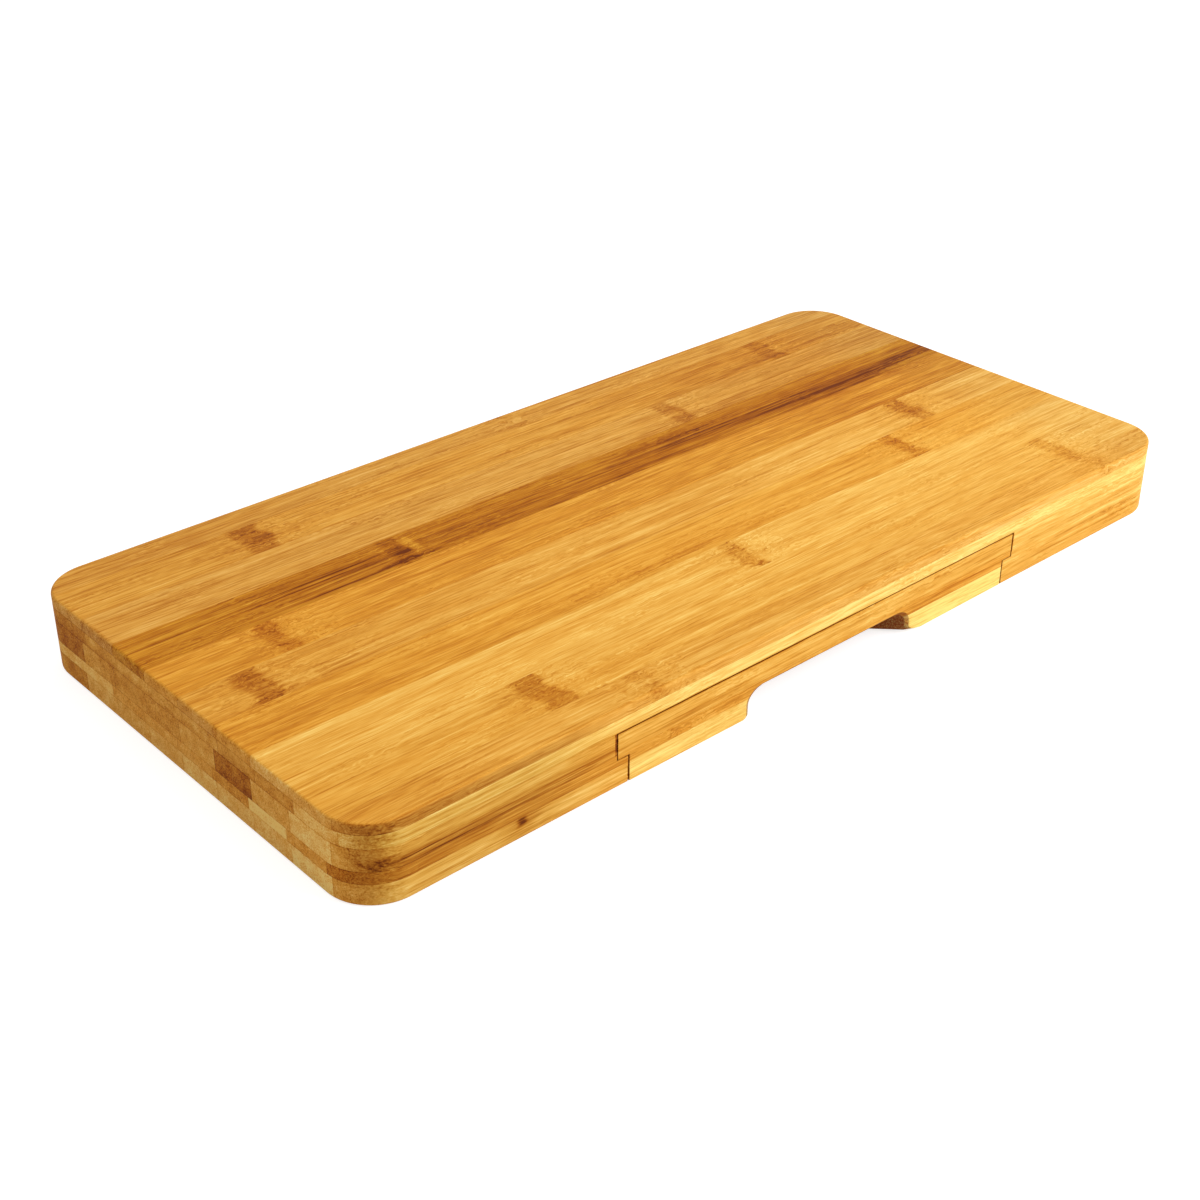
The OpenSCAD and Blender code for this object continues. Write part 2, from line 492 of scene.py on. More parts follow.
# %% [markdown]
# ## What bamboo looks like
#
# Bamboo is a grass. Thousands of fibre bundles run along the culm, so a long face shows fine
# streaks and an end shows dots. Every 20 to 30 cm the culm has a node, the knuckle: there the
# fibres swirl, and a jagged brown band crosses the strip. Strips differ in tone, from straw to
# brown. All of this depends on the place in the strip, so one shader made of solid noise, stretched
# along x, draws streaks, dots and knuckles on every face, however the strip is cut.
#
# The helper below adds shader nodes in one line each, so that the shader reads like a recipe.

# %% A recipe for shader nodes
FAR_X = 937.0
FAR_Y = 211.0


def linear(red, green, blue):
    """A colour given as 0 to 255, as on a screen, in the linear values that shaders use."""
    shares = [level / 255 for level in (red, green, blue)]
    return (*[s / 12.92 if s <= 0.04045 else ((s + 0.055) / 1.055) ** 2.4 for s in shares], 1)


class Recipe:
    """Adds nodes to a tree. A socket takes a number, a colour or another node's output."""

    def __init__(self, tree):
        self.tree = tree

    def parts(self, kind, sockets, **settings):
        """Adds a node and returns all its outputs."""
        node = self.tree.nodes.new("ShaderNode" + kind)
        for name, value in settings.items():
            setattr(node, name, value)
        for name, value in sockets.items():
            if isinstance(value, bpy.types.NodeSocket):
                self.tree.links.new(value, node.inputs[name])
            else:
                node.inputs[name].default_value = value
        return node.outputs

    def node(self, kind, sockets, out=0, **settings):
        return self.parts(kind, sockets, **settings)[out]

    def math(self, operation, *values):
        return self.node("Math", dict(enumerate(values)), operation=operation)

    def vector(self, operation, *values):
        return self.node("VectorMath", dict(enumerate(values)), operation=operation)

    def noise(self, place, stretch, detail=2.0, roughness=0.5):
        """Solid noise about its middle, from -1 to 1, with so many waves per mm along x, y, z."""
        at_place = self.vector("MULTIPLY", place, stretch)
        sockets = {"Vector": at_place, "Scale": 1.0, "Detail": detail, "Roughness": roughness}
        value = self.node("TexNoise", sockets)
        return self.math("MULTIPLY_ADD", value, 2.0, -1.0)

    def step(self, value, start, end):
        """0 where the value is at start, 1 where it is at end, smooth in between."""
        sockets = {"Value": value, "From Min": start, "From Max": end}
        return self.node("MapRange", sockets, interpolation_type="SMOOTHSTEP")

    def total(self, first, *rest):
        for value in rest:
            first = self.math("ADD", first, value)
        return first

    def times(self, first, *rest):
        for value in rest:
            first = self.math("MULTIPLY", first, value)
        return first

    def hill(self, value, middle, width):
        """1 at the middle, falling off smoothly to both sides."""
        off = self.math("DIVIDE", self.math("SUBTRACT", value, middle), width)
        return self.math("EXPONENT", self.math("MULTIPLY", self.math("MULTIPLY", off, off), -1.0))

    def multiplied(self, color, other, share):
        """A colour times another, or part of the way there."""
        sockets = {0: share, 6: color, 7: other}
        return self.node("Mix", sockets, out=2, data_type="RGBA", blend_type="MULTIPLY")

    def place(self, seed):
        """The place in mm as a vector that the seed moves far away, and as plain x, y and z."""
        coordinates = self.parts("TexCoord", {})
        mm = self.vector("MULTIPLY", coordinates["Object"], (1 / MM, 1 / MM, 1 / MM))
        far = self.node("CombineXYZ", {0: self.times(seed, FAR_X), 1: self.times(seed, FAR_Y)})
        return self.vector("ADD", mm, far), self.parts("SeparateXYZ", {0: mm})


def new_group(name, inputs, outputs):
    """An empty node group, as (recipe, its inputs, its outputs). Each socket is "Kind Name"."""
    tree = bpy.data.node_groups.new(name, "ShaderNodeTree")
    for direction, sockets in (("INPUT", inputs), ("OUTPUT", outputs)):
        for socket in sockets:
            kind, label = socket.split(" ", 1)
            tree.interface.new_socket(label, in_out=direction, socket_type="NodeSocket" + kind)
    entry = tree.nodes.new("NodeGroupInput").outputs
    return Recipe(tree), entry, tree.nodes.new("NodeGroupOutput").inputs


print("the recipe helper is ready")

# %% [markdown]
# ## The knuckle
#
# A knuckle is a band right across a strip. A broad one is 8 to 10 mm long and evenly brown, with
# soft edges and a few blots. A narrow one is a row of flecks. The fibres near it are pushed aside
# and ripple for 15 to 25 mm, and past it they are often paler. The group gives the change of tone,
# and how far the fibres are pushed sideways.

# %% Knuckle group
def make_knuckle_group():
    recipe, given, result = new_group(
        "bamboo knuckle",
        ["Float Seed", "Float Middle", "Float Half", "Float Depth"],
        ["Float Tone", "Float Push"],
    )
    place, (x, _, _) = recipe.place(given["Seed"])
    off = recipe.math("SUBTRACT", x, given["Middle"])
    half = given["Half"]
    jag = recipe.times(recipe.noise(place, (0.02, 0.11, 0.11), 1.0), 4.5)
    teeth = recipe.times(recipe.noise(place, (0.08, 0.8, 0.8), 2.0), 2.2)
    along = recipe.total(off, jag, teeth)
    enter = recipe.step(recipe.total(along, half), -2.6, 1.6)
    leave = recipe.step(recipe.math("SUBTRACT", along, half), 1.6, -1.2)
    band = recipe.math("MULTIPLY", enter, leave)
    broad = recipe.step(half, 1.8, 4.2)
    squiggle = recipe.times(recipe.noise(place, (0.26, 0.22, 0.22), 1.0), 2.2)
    bent = recipe.vector("ADD", place, recipe.node("CombineXYZ", {1: squiggle, 2: squiggle}))
    blots = recipe.step(recipe.noise(place, (0.14, 0.17, 0.17), 2.0, 0.5), -0.35, 0.40)
    flecks = recipe.step(recipe.noise(bent, (0.26, 0.75, 0.75), 1.5, 0.5), -0.15, 0.45)
    line = recipe.hill(recipe.math("SUBTRACT", along, half), -0.6, 0.8)
    fan = recipe.step(recipe.noise(bent, (0.035, 0.6, 0.6), 2.0, 0.6), -0.10, 0.45)
    browner = recipe.total(
        recipe.times(band, broad, 0.16),
        recipe.times(band, broad, blots, 0.06),
        recipe.times(band, flecks, recipe.math("MULTIPLY_ADD", broad, -0.15, 0.20)),
        recipe.times(line, blots, 0.04),
        recipe.times(recipe.hill(off, 0.0, 8.0), flecks, 0.05),
        recipe.times(recipe.hill(off, -10.0, 9.0), fan, 0.07),
        recipe.times(recipe.hill(off, 13.0, 9.0), flecks, 0.06),
    )
    pale = recipe.math("MULTIPLY", recipe.step(along, 4.0, 7.0), recipe.step(along, 28.0, 10.0))
    tone = recipe.times(recipe.math("SUBTRACT", recipe.times(pale, 0.045), browner), given["Depth"])
    recipe.tree.links.new(tone, result["Tone"])
    swirl = recipe.times(recipe.noise(place, (0.09, 0.16, 0.16), 2.0), 3.0)
    near = recipe.times(recipe.hill(off, 4.0, 13.0), given["Depth"])
    recipe.tree.links.new(recipe.times(recipe.total(swirl, squiggle), near), result["Push"])
    return recipe.tree


knuckle_group = make_knuckle_group()
print("knuckle group:", len(knuckle_group.nodes), "nodes")

# %% [markdown]
# ## The vein
#
# Some strips have darker veins, where sap has stained the fibres: long thin lines, and broad
# brown stretches. A vein is a soft spindle along the grain, from one x to another, round a line at
# its own y and z. Its streaks are uneven. A vein that is only a few mm long is a dark spot, and one
# with a depth below zero makes the wood paler. The same spindle also draws painted shadow lines in
# the seams around the drawer.

# %% Vein group
def make_vein_group():
    names = ("Seed", "From", "To", "Soft", "Y", "Z", "Width", "Height", "Depth")
    recipe, given, result = new_group("bamboo vein", ["Float " + name for name in names], ["Float Tone"])
    place, (x, y, z) = recipe.place(given["Seed"])
    sway = recipe.times(recipe.noise(place, (0.012, 0.04, 0.04), 1.0), recipe.times(given["Width"], 1.2))
    ragged = recipe.times(recipe.noise(place, (0.02, 0.7, 0.7), 1.0), given["Soft"], 1.5)
    along = recipe.total(x, ragged)
    begin = recipe.math("DIVIDE", recipe.math("SUBTRACT", along, given["From"]), given["Soft"])
    finish = recipe.math("DIVIDE", recipe.math("SUBTRACT", given["To"], along), given["Soft"])
    window = recipe.times(recipe.step(begin, -1.0, 1.0), recipe.step(finish, -1.0, 1.0))
    aside = recipe.math("DIVIDE", recipe.total(recipe.math("SUBTRACT", y, given["Y"]), sway), given["Width"])
    above = recipe.math("DIVIDE", recipe.math("SUBTRACT", z, given["Z"]), given["Height"])
    away = recipe.total(recipe.times(aside, aside), recipe.times(above, above))
    body = recipe.math("EXPONENT", recipe.times(away, -1.0))
    streaks = recipe.math("MULTIPLY_ADD", recipe.noise(place, (0.012, 0.9, 0.9), 2.0, 0.6), 1.1, 0.85)
    tone = recipe.times(body, window, streaks, given["Depth"], -1.0)
    recipe.tree.links.new(tone, result["Tone"])
    return recipe.tree


vein_group = make_vein_group()
print("vein group:", len(vein_group.nodes), "nodes")

# %% [markdown]
# ## The strip
#
# The strip's shader works in millimetres on Object coordinates. It shifts its noise by a seed, and
# by the number of the strip, so no two strips are alike. Broad bands, streaks, fine fibres and
# bundles are added up to one number, the tone. A colour ramp turns the tone into bamboo's colours,
# from the brown of a knuckle to the yellow of fresh pith. The ends get their own treatment: cut
# fibres drink more oil, so they are duller, and the bundles show as dots. Just inside the drawer's
# joints and in its notch the colour turns a speckled brown: partly a cutter's burn, partly painted
# shade for the shade that falls in these gaps and hollows.

# %% Bamboo group
STRIP_WIDTH = 21.0
STRIP_SEED = 0.618
TOP = cad_high.z / MM
FRONT = front_y / MM
CORNER_X = (-182.0, -194.0)
CORNER_Y = (-82.0, -93.0)
CORNER_FOOT = -0.05
CORNER_SLOPE = -0.0082
FRONT_LEFT_X = (-95.0, -140.0)
TOP_RIGHT_X = (148.0, 185.0)
RAMP = [
    (0.00, linear(108, 46, 6)),
    (0.15, linear(152, 80, 14)),
    (0.30, linear(182, 107, 24)),
    (0.45, linear(203, 133, 40)),
    (0.60, linear(223, 157, 56)),
    (0.75, linear(237, 178, 77)),
    (0.88, linear(247, 197, 98)),
    (1.00, linear(254, 220, 122)),
]
GRAIN = {
    "broad": 0.13,
    "mottle": 0.12,
    "streak": 0.26,
    "fine": 0.32,
    "hair": -0.11,
    "gleam": 0.07,
    "dash": -0.07,
}
END_GRAIN = {"blotch": 0.26, "speckle": 0.50, "dot": -0.18}
WARM = linear(255, 248, 232)
ON_ENDS = (0.94, 0.91, 1.10, 1.0)
ON_FRONT = (1.0, 1.03, 1.18, 1.0)
FRONT_LEFT = (0.93, 1.03, 1.26, 1.0)
TOP_RIGHT = (0.96, 1.03, 1.28, 1.0)
# The brown of a cutter's burn, also used as painted shade in the drawer's joints and its notch.
BURN_AND_SHADE = (0.25, 0.09, 0.07, 1.0)


def make_ramp(recipe, factor, stops, interpolation="LINEAR"):
    node = recipe.tree.nodes.new("ShaderNodeValToRGB")
    node.color_ramp.interpolation = interpolation
    elements = node.color_ramp.elements
    while len(elements) < len(stops):
        elements.new(0.5)
    for element, (position, color) in zip(elements, stops):
        element.position = position
        element.color = color
    recipe.tree.links.new(factor, node.inputs[0])
    return node.outputs[0]


def weighed(recipe, weights, layers):
    """The sum of the named layers, each times its weight."""
    return recipe.total(*[recipe.times(layers[name], weight) for name, weight in weights.items()])


def burnt_and_shaded(recipe, x, y, z, speckle):
    """How far a place is darkened by cutter burn and painted shade: in the notch, and just inside the
    drawer's joints.
    """
    behind = recipe.math("SUBTRACT", y, FRONT)
    inner = recipe.times(recipe.step(behind, 0.08, 0.20), recipe.step(z, 0.5, 0.9))
    from_middle = recipe.math("ABSOLUTE", x)
    joints = recipe.times(recipe.step(behind, 1.2, 0.7), recipe.step(from_middle, 106.0, 104.0))
    notch = recipe.times(recipe.step(from_middle, 43.0, 42.6), recipe.step(z, 12.2, 11.6))
    # Deeper into a joint the painted shade is darker.
    deeper = recipe.math("MULTIPLY_ADD", recipe.step(behind, 0.7, 1.1), 0.25, 0.70)
    uneven = recipe.math("MULTIPLY_ADD", speckle, -0.55, deeper)
    return recipe.times(inner, recipe.math("MAXIMUM", joints, notch), uneven)


def make_bamboo_group():
    floats = ("Tone", "Change", "Push", "Seed", "Joint", "Low", "High", "Burn")
    recipe, given, result = new_group(
        "bamboo",
        ["Color Tint"] + ["Float " + name for name in floats],
        ["Color Color", "Float Roughness", "Float Height"],
    )
    _, (x, y, z) = recipe.place(given["Seed"])

    # The strip's number in its ply gives each strip a place of its own in the noise
    from_joint = recipe.math("SUBTRACT", y, given["Joint"])
    number = recipe.math("FLOOR", recipe.math("DIVIDE", from_joint, STRIP_WIDTH))
    place, _ = recipe.place(recipe.math("MULTIPLY_ADD", number, STRIP_SEED, given["Seed"]))
    wave = recipe.times(recipe.noise(place, (0.006, 0.03, 0.03), 1.0), 2.5)
    ripple = recipe.times(
        recipe.noise(place, (0.24, 0.30, 0.30), 1.0),
        recipe.step(recipe.noise(place, (0.02, 0.07, 0.07), 1.0), -0.05, 0.30),
        0.8,
    )
    aside = recipe.total(given["Push"], wave, ripple)
    bent = recipe.vector("ADD", place, recipe.node("CombineXYZ", {1: aside, 2: aside}))

    # Long faces: from broad bands to fine fibres, hairlines and short dashes
    layers = {
        "broad": recipe.noise(bent, (0.005, 0.16, 0.16), 1.0),
        "mottle": recipe.noise(bent, (0.05, 0.24, 0.24), 2.0),
        "streak": recipe.noise(bent, (0.012, 0.85, 0.85), 2.0, 0.6),
        "fine": recipe.noise(bent, (0.08, 1.9, 1.9), 2.0, 0.7),
        "hair": recipe.step(recipe.noise(bent, (0.008, 1.3, 1.3), 1.0), 0.20, 0.38),
        "gleam": recipe.step(recipe.noise(bent, (0.012, 1.5, 1.5), 1.0), -0.20, -0.40),
        "dash": recipe.step(recipe.noise(bent, (0.15, 2.4, 2.4), 1.0), 0.20, 0.45),
    }
    grain = weighed(recipe, GRAIN, layers)

    # Ends: blotches, speckle and the dots of the cut bundles
    cells = recipe.vector("MULTIPLY", bent, (0.010, 1.3, 1.3))
    to_bundle = recipe.node("TexVoronoi", {"Vector": cells, "Scale": 1.0, "Randomness": 0.9})
    ends = {
        "blotch": recipe.noise(bent, (0.004, 0.25, 0.25), 2.0),
        "speckle": recipe.noise(bent, (0.02, 1.9, 1.9), 2.0, 0.7),
        "dot": recipe.step(to_bundle, 0.45, 0.15),
    }
    end_grain = weighed(recipe, END_GRAIN, ends)
    normal = recipe.parts("SeparateXYZ", {0: recipe.parts("TexCoord", {})["Normal"]})
    end = recipe.step(recipe.math("ABSOLUTE", normal[0]), 0.35, 0.9)
    front = recipe.step(recipe.math("ABSOLUTE", normal[1]), 0.35, 0.9)

    # Glue joints
    to_joint = recipe.math("PINGPONG", from_joint, STRIP_WIDTH / 2)
    to_low = recipe.math("ABSOLUTE", recipe.math("SUBTRACT", z, given["Low"]))
    to_high = recipe.math("ABSOLUTE", recipe.math("SUBTRACT", z, given["High"]))
    to_glue = recipe.math("MINIMUM", to_joint, recipe.math("MINIMUM", to_low, to_high))
    glue = recipe.step(to_glue, 0.25, 0.05)

    # The front left corner is browner, and more so higher up
    side = recipe.step(recipe.math("ABSOLUTE", normal[2]), 0.97, 0.6)
    corner = recipe.times(recipe.step(x, *CORNER_X), recipe.step(y, *CORNER_Y), side)

    mixed = recipe.node("Mix", {0: end, 2: grain, 3: end_grain})
    tone = recipe.total(
        given["Tone"],
        mixed,
        given["Change"],
        recipe.times(corner, recipe.math("MULTIPLY_ADD", z, CORNER_SLOPE, CORNER_FOOT)),
        recipe.times(glue, recipe.math("MULTIPLY_ADD", end, -0.17, -0.05)),
    )
    color = make_ramp(recipe, tone, RAMP)

    # Some stretches are more orange, others more yellow
    warm = recipe.step(recipe.noise(bent, (0.008, 0.22, 0.22), 2.0, 0.6), -0.3, 0.3)
    color = recipe.multiplied(color, WARM, recipe.times(warm, 0.6))
    color = recipe.multiplied(color, ON_ENDS, end)
    color = recipe.multiplied(color, ON_FRONT, front)
    color = recipe.multiplied(color, given["Tint"], 1.0)

    # The wood is greyer at the front's left end and at the top's right end
    left = recipe.times(front, recipe.step(x, *FRONT_LEFT_X))
    right = recipe.times(recipe.math("SUBTRACT", 1.0, side), recipe.step(x, *TOP_RIGHT_X))
    color = recipe.multiplied(color, FRONT_LEFT, left)
    color = recipe.multiplied(color, TOP_RIGHT, right)

    # Painted shade with some cutter burn: inside the drawer's joints and in the notch the colour turns a
    # speckled brown.
    scorched_and_shaded = recipe.times(burnt_and_shaded(recipe, x, y, z, ends["speckle"]), given["Burn"])
    recipe.tree.links.new(recipe.multiplied(color, BURN_AND_SHADE, scorched_and_shaded), result["Color"])
    rough = recipe.total(
        0.52,
        recipe.times(layers["streak"], 0.10),
        recipe.times(layers["fine"], 0.06),
        recipe.times(end, 0.14),
    )
    recipe.tree.links.new(rough, result["Roughness"])
    height = recipe.total(
        recipe.times(layers["fine"], 0.5),
        recipe.times(ends["dot"], -0.4),
        recipe.times(layers["dash"], -0.5),
        recipe.times(glue, -1.0),
    )
    recipe.tree.links.new(height, result["Height"])
    return recipe.tree


bamboo_group = make_bamboo_group()
print("bamboo group:", len(bamboo_group.nodes), "nodes")

# %% [markdown]
# ## One finish for each strip
#
# Each strip has a tone of its own, its seed, its knuckles and its veins. A knuckle is the place of
# its middle along the board, half its length, and its strength. A vein is where it starts and ends,
# how soft its ends are, its y and z, how wide and high it is, and its strength. A stretch is a vein
# that covers the whole strip. A piece with a list of tones has one for each strip of its panel, and
# a burn and shade of 1 lets the cutter's burns and the painted shade in its joints and notch show.
# All places are in mm.

# %% The finish
SPECULAR = 0.04
BUMP = {"Strength": 0.35, "Distance": 0.1 * MM}
FIRST_SEED = 0.5
SEED_STEP = 1.37
WHOLE = 400.0  # wider and higher than any strip
PLAIN = (1.0, 1.0, 1.0)
WHEAT = (1.0, 1.01, 1.16)
AMBER = (1.0, 0.96, 0.88)
STRAW = (0.98, 1.05, 1.55)
UMBER = (0.97, 0.98, 0.78)


def joint_of(node):
    """The y of a glue joint of the node's ply, in mm."""
    low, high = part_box(node)
    return (high.y if abs(low.y - front_y) < NEAR else low.y) / MM


def vein(start, end, soft, y, z, width, height, depth):
    """A vein from start to end along the board, round a line at y and z."""
    names = ("From", "To", "Soft", "Y", "Z", "Width", "Height", "Depth")
    return dict(zip(names, (start, end, soft, y, z, width, height, depth)))


def top_vein(start, end, y, width, depth, soft=12.0):
    """A vein that shows on the top."""
    return vein(start, end, soft, y, TOP, width, 9.0, depth)


def front_vein_and_shadow(start, end, z, height, depth, soft=12.0):
    """A vein that shows on the front, also used for painted shadow lines in the drawer's seams."""
    return vein(start, end, soft, FRONT, z, 5.0, height, depth)


def left_vein(y, z, width, height, depth):
    """A vein that shows on the left end."""
    return vein(-210.0, -190.0, 3.0, y, z, width, height, depth)


def stretch(start, end, depth, soft=30.0):
    """A darker stretch of the whole strip, or a paler one."""
    return vein(start, end, soft, 0.0, TOP, WHOLE, WHOLE, depth)


def by_strip(recipe, node, tones):
    """A tone for each strip of a node, from the front one backwards."""
    coordinates = recipe.parts("SeparateXYZ", {0: recipe.parts("TexCoord", {})["Object"]})
    joint = joint_of(node)
    first = joint + math.floor((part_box(node)[0].y / MM - joint) / STRIP_WIDTH) * STRIP_WIDTH
    reach = len(tones) * STRIP_WIDTH
    mm = recipe.math("MULTIPLY", coordinates[1], 1 / MM)
    share = recipe.math("DIVIDE", recipe.math("SUBTRACT", mm, first), reach)
    stops = [(index / len(tones), (tone, tone, tone, 1.0)) for index, tone in enumerate(tones)]
    return make_ramp(recipe, share, stops, "CONSTANT")


def grouped(recipe, group, sockets):
    """Adds a node group with these values, and returns its outputs."""
    node = recipe.tree.nodes.new("ShaderNodeGroup")
    node.node_tree = group
    for name, value in sockets.items():
        if isinstance(value, bpy.types.NodeSocket):
            recipe.tree.links.new(value, node.inputs[name])
        else:
            node.inputs[name].default_value = value
    return node.outputs


def bamboo_material(node, seed, tone, tint=PLAIN, knuckles=(), veins=(), burn=0.0):
    material = bpy.data.materials.new("bamboo_" + node)
    material.use_nodes = True
    recipe = Recipe(material.node_tree)
    shader = material.node_tree.nodes["Principled BSDF"]
    shader.inputs["Specular IOR Level"].default_value = SPECULAR
    change, push = 0.0, 0.0
    for middle, half, depth in knuckles:
        sockets = {"Seed": seed, "Middle": middle, "Half": half, "Depth": depth}
        knuckle = grouped(recipe, knuckle_group, sockets)
        change = recipe.math("ADD", change, knuckle["Tone"])
        push = recipe.math("ADD", push, knuckle["Push"])
    for sockets in veins:
        stain_and_shadow = grouped(recipe, vein_group, {"Seed": seed, **sockets})
        change = recipe.math("ADD", change, stain_and_shadow["Tone"])
    low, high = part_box(node)
    sockets = {
        "Tint": (*tint, 1.0),
        "Tone": by_strip(recipe, node, tone) if isinstance(tone, list) else tone,
        "Change": change,
        "Push": push,
        "Seed": seed,
        "Joint": joint_of(node),
        "Low": low.z / MM,
        "High": high.z / MM,
        "Burn": burn,
    }
    wood = grouped(recipe, bamboo_group, sockets)
    bump = recipe.node("Bump", {**BUMP, "Height": wood["Height"]})
    material.node_tree.links.new(bump, shader.inputs["Normal"])
    material.node_tree.links.new(wood["Color"], shader.inputs["Base Color"])
    material.node_tree.links.new(wood["Roughness"], shader.inputs["Roughness"])
    return material


def front_tint(share):
    """Between plain and the pale yellow of the core ply's front strip."""
    return tuple(1 + share * (side - 1) for side in (1.0, 1.04, 1.04))


